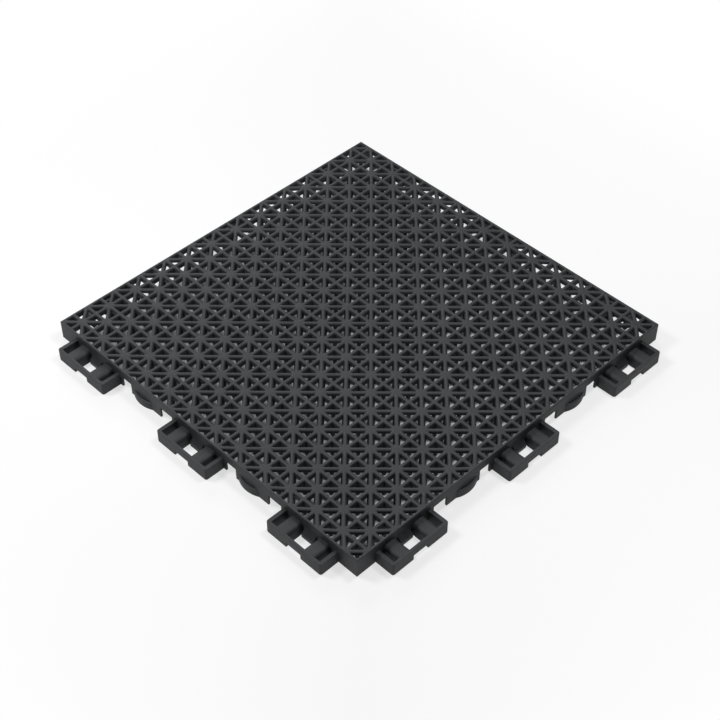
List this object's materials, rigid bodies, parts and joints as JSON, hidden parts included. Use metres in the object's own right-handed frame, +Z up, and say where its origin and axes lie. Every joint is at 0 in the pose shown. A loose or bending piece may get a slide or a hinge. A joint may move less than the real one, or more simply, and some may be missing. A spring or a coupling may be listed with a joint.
{
  "type": "sports court tile",
  "caption": "Square interlocking sports court tile: open lattice face with star-pattern ribs, low connector loops on the front edges and snap prongs under the back edges.",
  "frame": {"origin": "Centre of the bounding box on the floor plane, so the middle of the tile's own square stands a little towards -X and +Y of it, because the connector loops stick out on the other sides.", "axes": "+Z up out of the playing face; X and Y run along the straight ribs; the connector loops stick out towards +X and -Y."},
  "size_m": [0.2612, 0.2612, 0.0127],
  "materials": {
    "charcoal_plastic": "matte moulded polypropylene, dark charcoal grey"
  },
  "bodies": {
    "root": {"tile_left": "charcoal_plastic", "tile_middle": "charcoal_plastic", "tile_right": "charcoal_plastic"}
  },
  "joints": []
}
